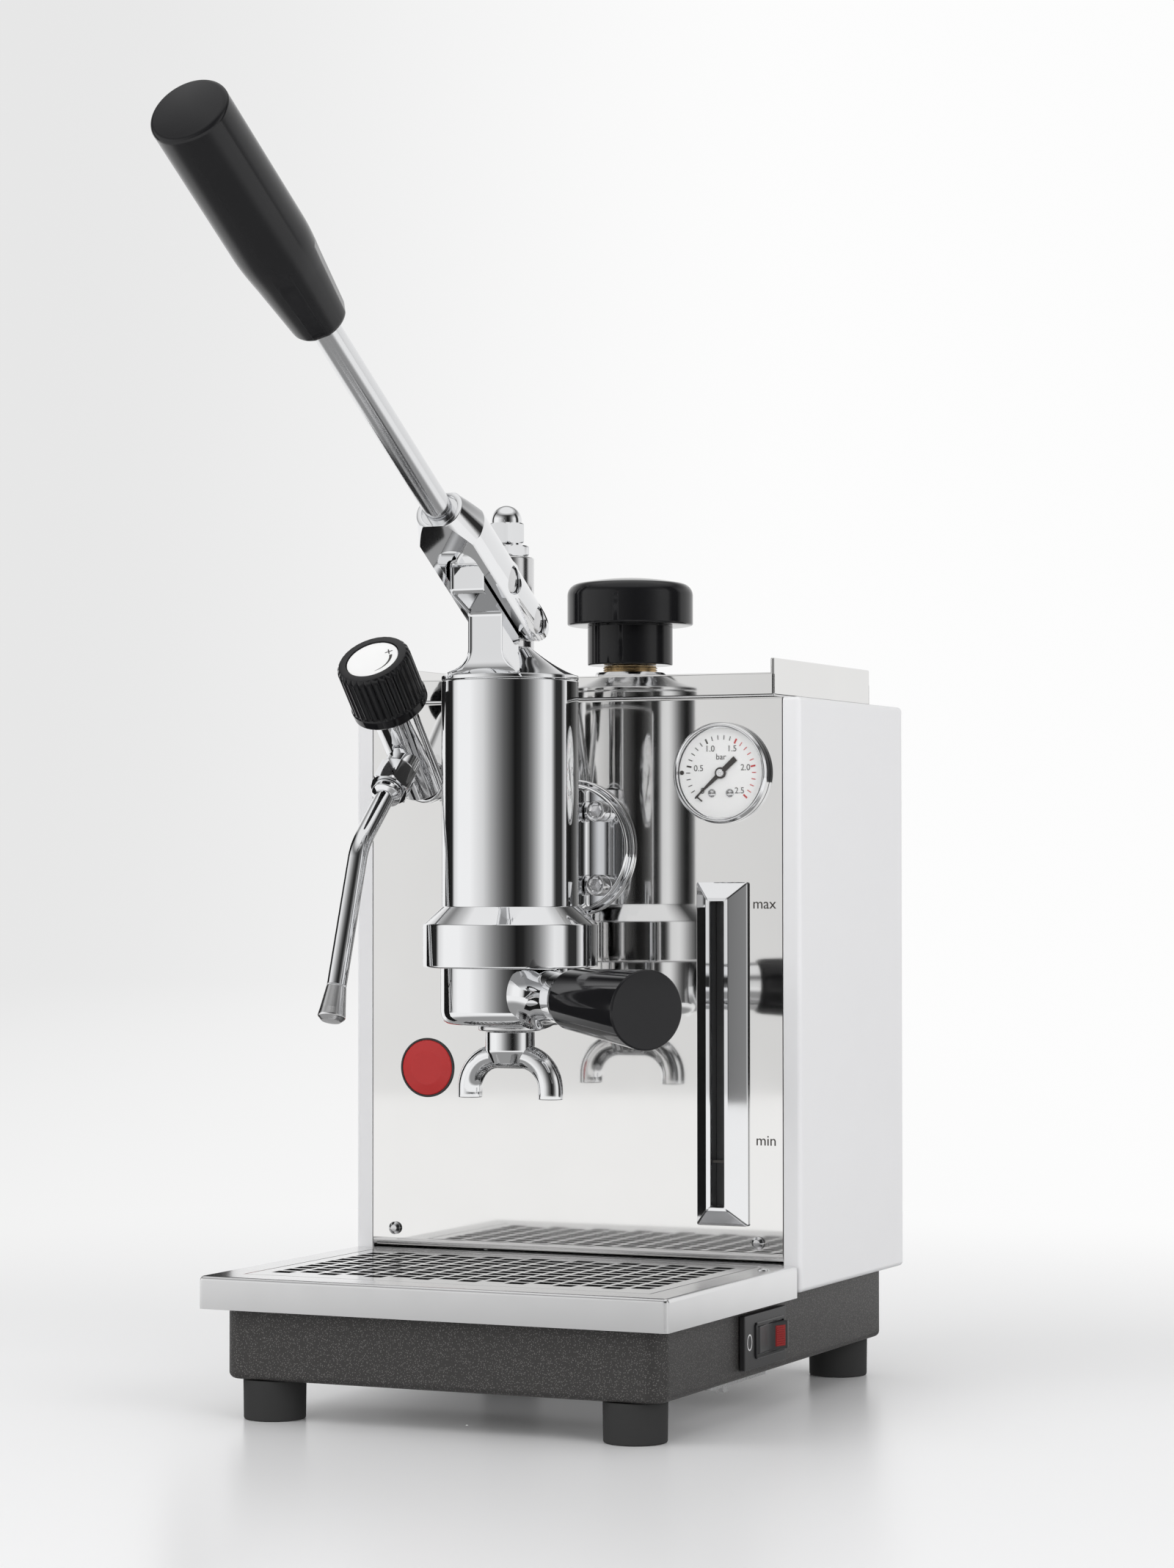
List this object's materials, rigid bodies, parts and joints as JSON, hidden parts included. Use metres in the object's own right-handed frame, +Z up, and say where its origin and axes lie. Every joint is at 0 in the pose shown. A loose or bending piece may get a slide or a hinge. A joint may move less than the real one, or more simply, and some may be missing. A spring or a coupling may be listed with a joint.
{
  "type": "lever espresso machine",
  "caption": "Countertop espresso machine with a hand lever over a sprung piston group, portafilter, steam wand, gauge, sight glass and drip tray.",
  "frame": {"origin": "on the ground under the middle of the whole object's footprint, lever and portafilter included", "axes": "+Z up, -Y towards the user at the front, +X to the right side with the power switch"},
  "size_m": [0.2, 0.4376, 0.4814],
  "materials": {
    "rubber": "matt black rubber",
    "hammer_grey": "dark grey hammer paint with fine speckle",
    "white_paint": "satin white powder coat",
    "mirror_steel": "mirror polished stainless sheet",
    "steel": "satin stainless steel",
    "copper": null,
    "brass": "bare turned brass",
    "chrome": "polished chrome plate",
    "black_plastic": "gloss black moulded plastic",
    "red_plastic": "clear red plastic",
    "white_plastic": "plain white printed face",
    "glass": "clear glass",
    "needle_black": "matt black thin sheet"
  },
  "bodies": {
    "machine": {"foot_front_left": "rubber", "foot_front_right": "rubber", "foot_rear_left": "rubber", "foot_rear_right": "rubber", "base_pan": "hammer_grey", "bottom_plate": "steel", "side_panel_left": "white_paint", "side_panel_right": "white_paint", "front_panel": "mirror_steel", "rear_panel": "white_paint", "tray_cover": "steel", "drip_basin": "steel", "cup_tray": "steel", "boiler": "copper", "heating_element": "steel", "filler_neck": "brass", "safety_valve_body": "steel", "safety_valve_nuts": "chrome", "flange_ring": "chrome", "group_body": "chrome", "flange_bolt_1": "steel", "flange_bolt_2": "steel", "flange_bolt_3": "steel", "flange_bolt_4": "steel", "group_gasket": "rubber", "shower_screen": "steel", "group_bonnet": "chrome", "group_spring": "steel", "steam_valve_body": "chrome", "wand_nut": "chrome", "gauge_case": "chrome", "gauge_dial": "white_plastic", "gauge_glass": "glass", "sight_housing": "chrome", "sight_glass": "glass", "pilot_lamp": "red_plastic", "panel_screw_left": "steel", "panel_screw_right": "steel", "switch_housing": "black_plastic", "power_inlet": "black_plastic"},
    "grille": {"drip_grille": "steel"},
    "cap": {"boiler_cap": "black_plastic"},
    "lever": {"lever_fork": "chrome", "lever_rod": "chrome", "lever_handle": "black_plastic", "pivot_pin": "steel", "rod_pin": "steel"},
    "plunger": {"piston": "brass", "piston_rod": "steel"},
    "portafilter": {"portafilter_body": "chrome", "portafilter_handle": "black_plastic", "filter_basket": "steel", "spout_washer": "steel", "spout": "chrome"},
    "knob": {"steam_knob": "black_plastic", "steam_knob_disc": "white_plastic"},
    "wand": {"steam_wand": "chrome", "wand_tip": "steel"},
    "needle": {"gauge_needle": "needle_black"},
    "rocker": {"power_rocker": "black_plastic"}
  },
  "joints": [
    {"name": "lever_pivot", "type": "hinge", "parent": "machine", "child": "lever", "pos_m": [0, 0.01506, 0.326], "axis": [1, 0, 0], "range_deg": [0, 66], "stiffness_Nm_per_rad": 17, "springref_deg": -50.42},
    {"name": "piston_slide", "type": "slide", "parent": "machine", "child": "plunger", "axis": [0, 0, 1], "range_m": [0, 0.0295], "deforming": ["group_spring"]},
    {"name": "portafilter_turn", "type": "hinge", "parent": "machine", "child": "portafilter", "pos_m": [0, 0.03846, 0.17], "axis": [0, 0, 1], "range_deg": [-50, 0]},
    {"name": "steam_knob_turn", "type": "hinge", "parent": "machine", "child": "knob", "pos_m": [-0.0665, 0.05731, 0.28839], "axis": [0, -0.6691, 0.7431], "range_deg": [0, 270]},
    {"name": "steam_wand_swivel", "type": "hinge", "parent": "machine", "child": "wand", "pos_m": [-0.0665, 0.0806, 0.26253], "axis": [0, -0.7431, -0.6691], "range_deg": [-90, 20]},
    {"name": "boiler_cap_lift", "type": "slide", "parent": "machine", "child": "cap", "axis": [0, 0, 1], "range_m": [0, 0.045]},
    {"name": "grille_lift", "type": "slide", "parent": "machine", "child": "grille", "axis": [0, 0, 1], "range_m": [0, 0.04]},
    {"name": "power_rocker_tilt", "type": "hinge", "parent": "machine", "child": "rocker", "pos_m": [0.0922, 0.07326, 0.0305], "axis": [0, 0, 1], "range_deg": [0, 16]},
    {"name": "gauge_needle_turn", "type": "hinge", "parent": "machine", "child": "needle", "pos_m": [0.0665, 0.09526, 0.2523], "axis": [0, 1, 0], "range_deg": [0, 264], "stiffness_Nm_per_rad": 0.0002}
  ],
  "couplings": [
    {"joint": "piston_slide", "follows": "lever_pivot", "m_per_rad": 0.02553}
  ]
}
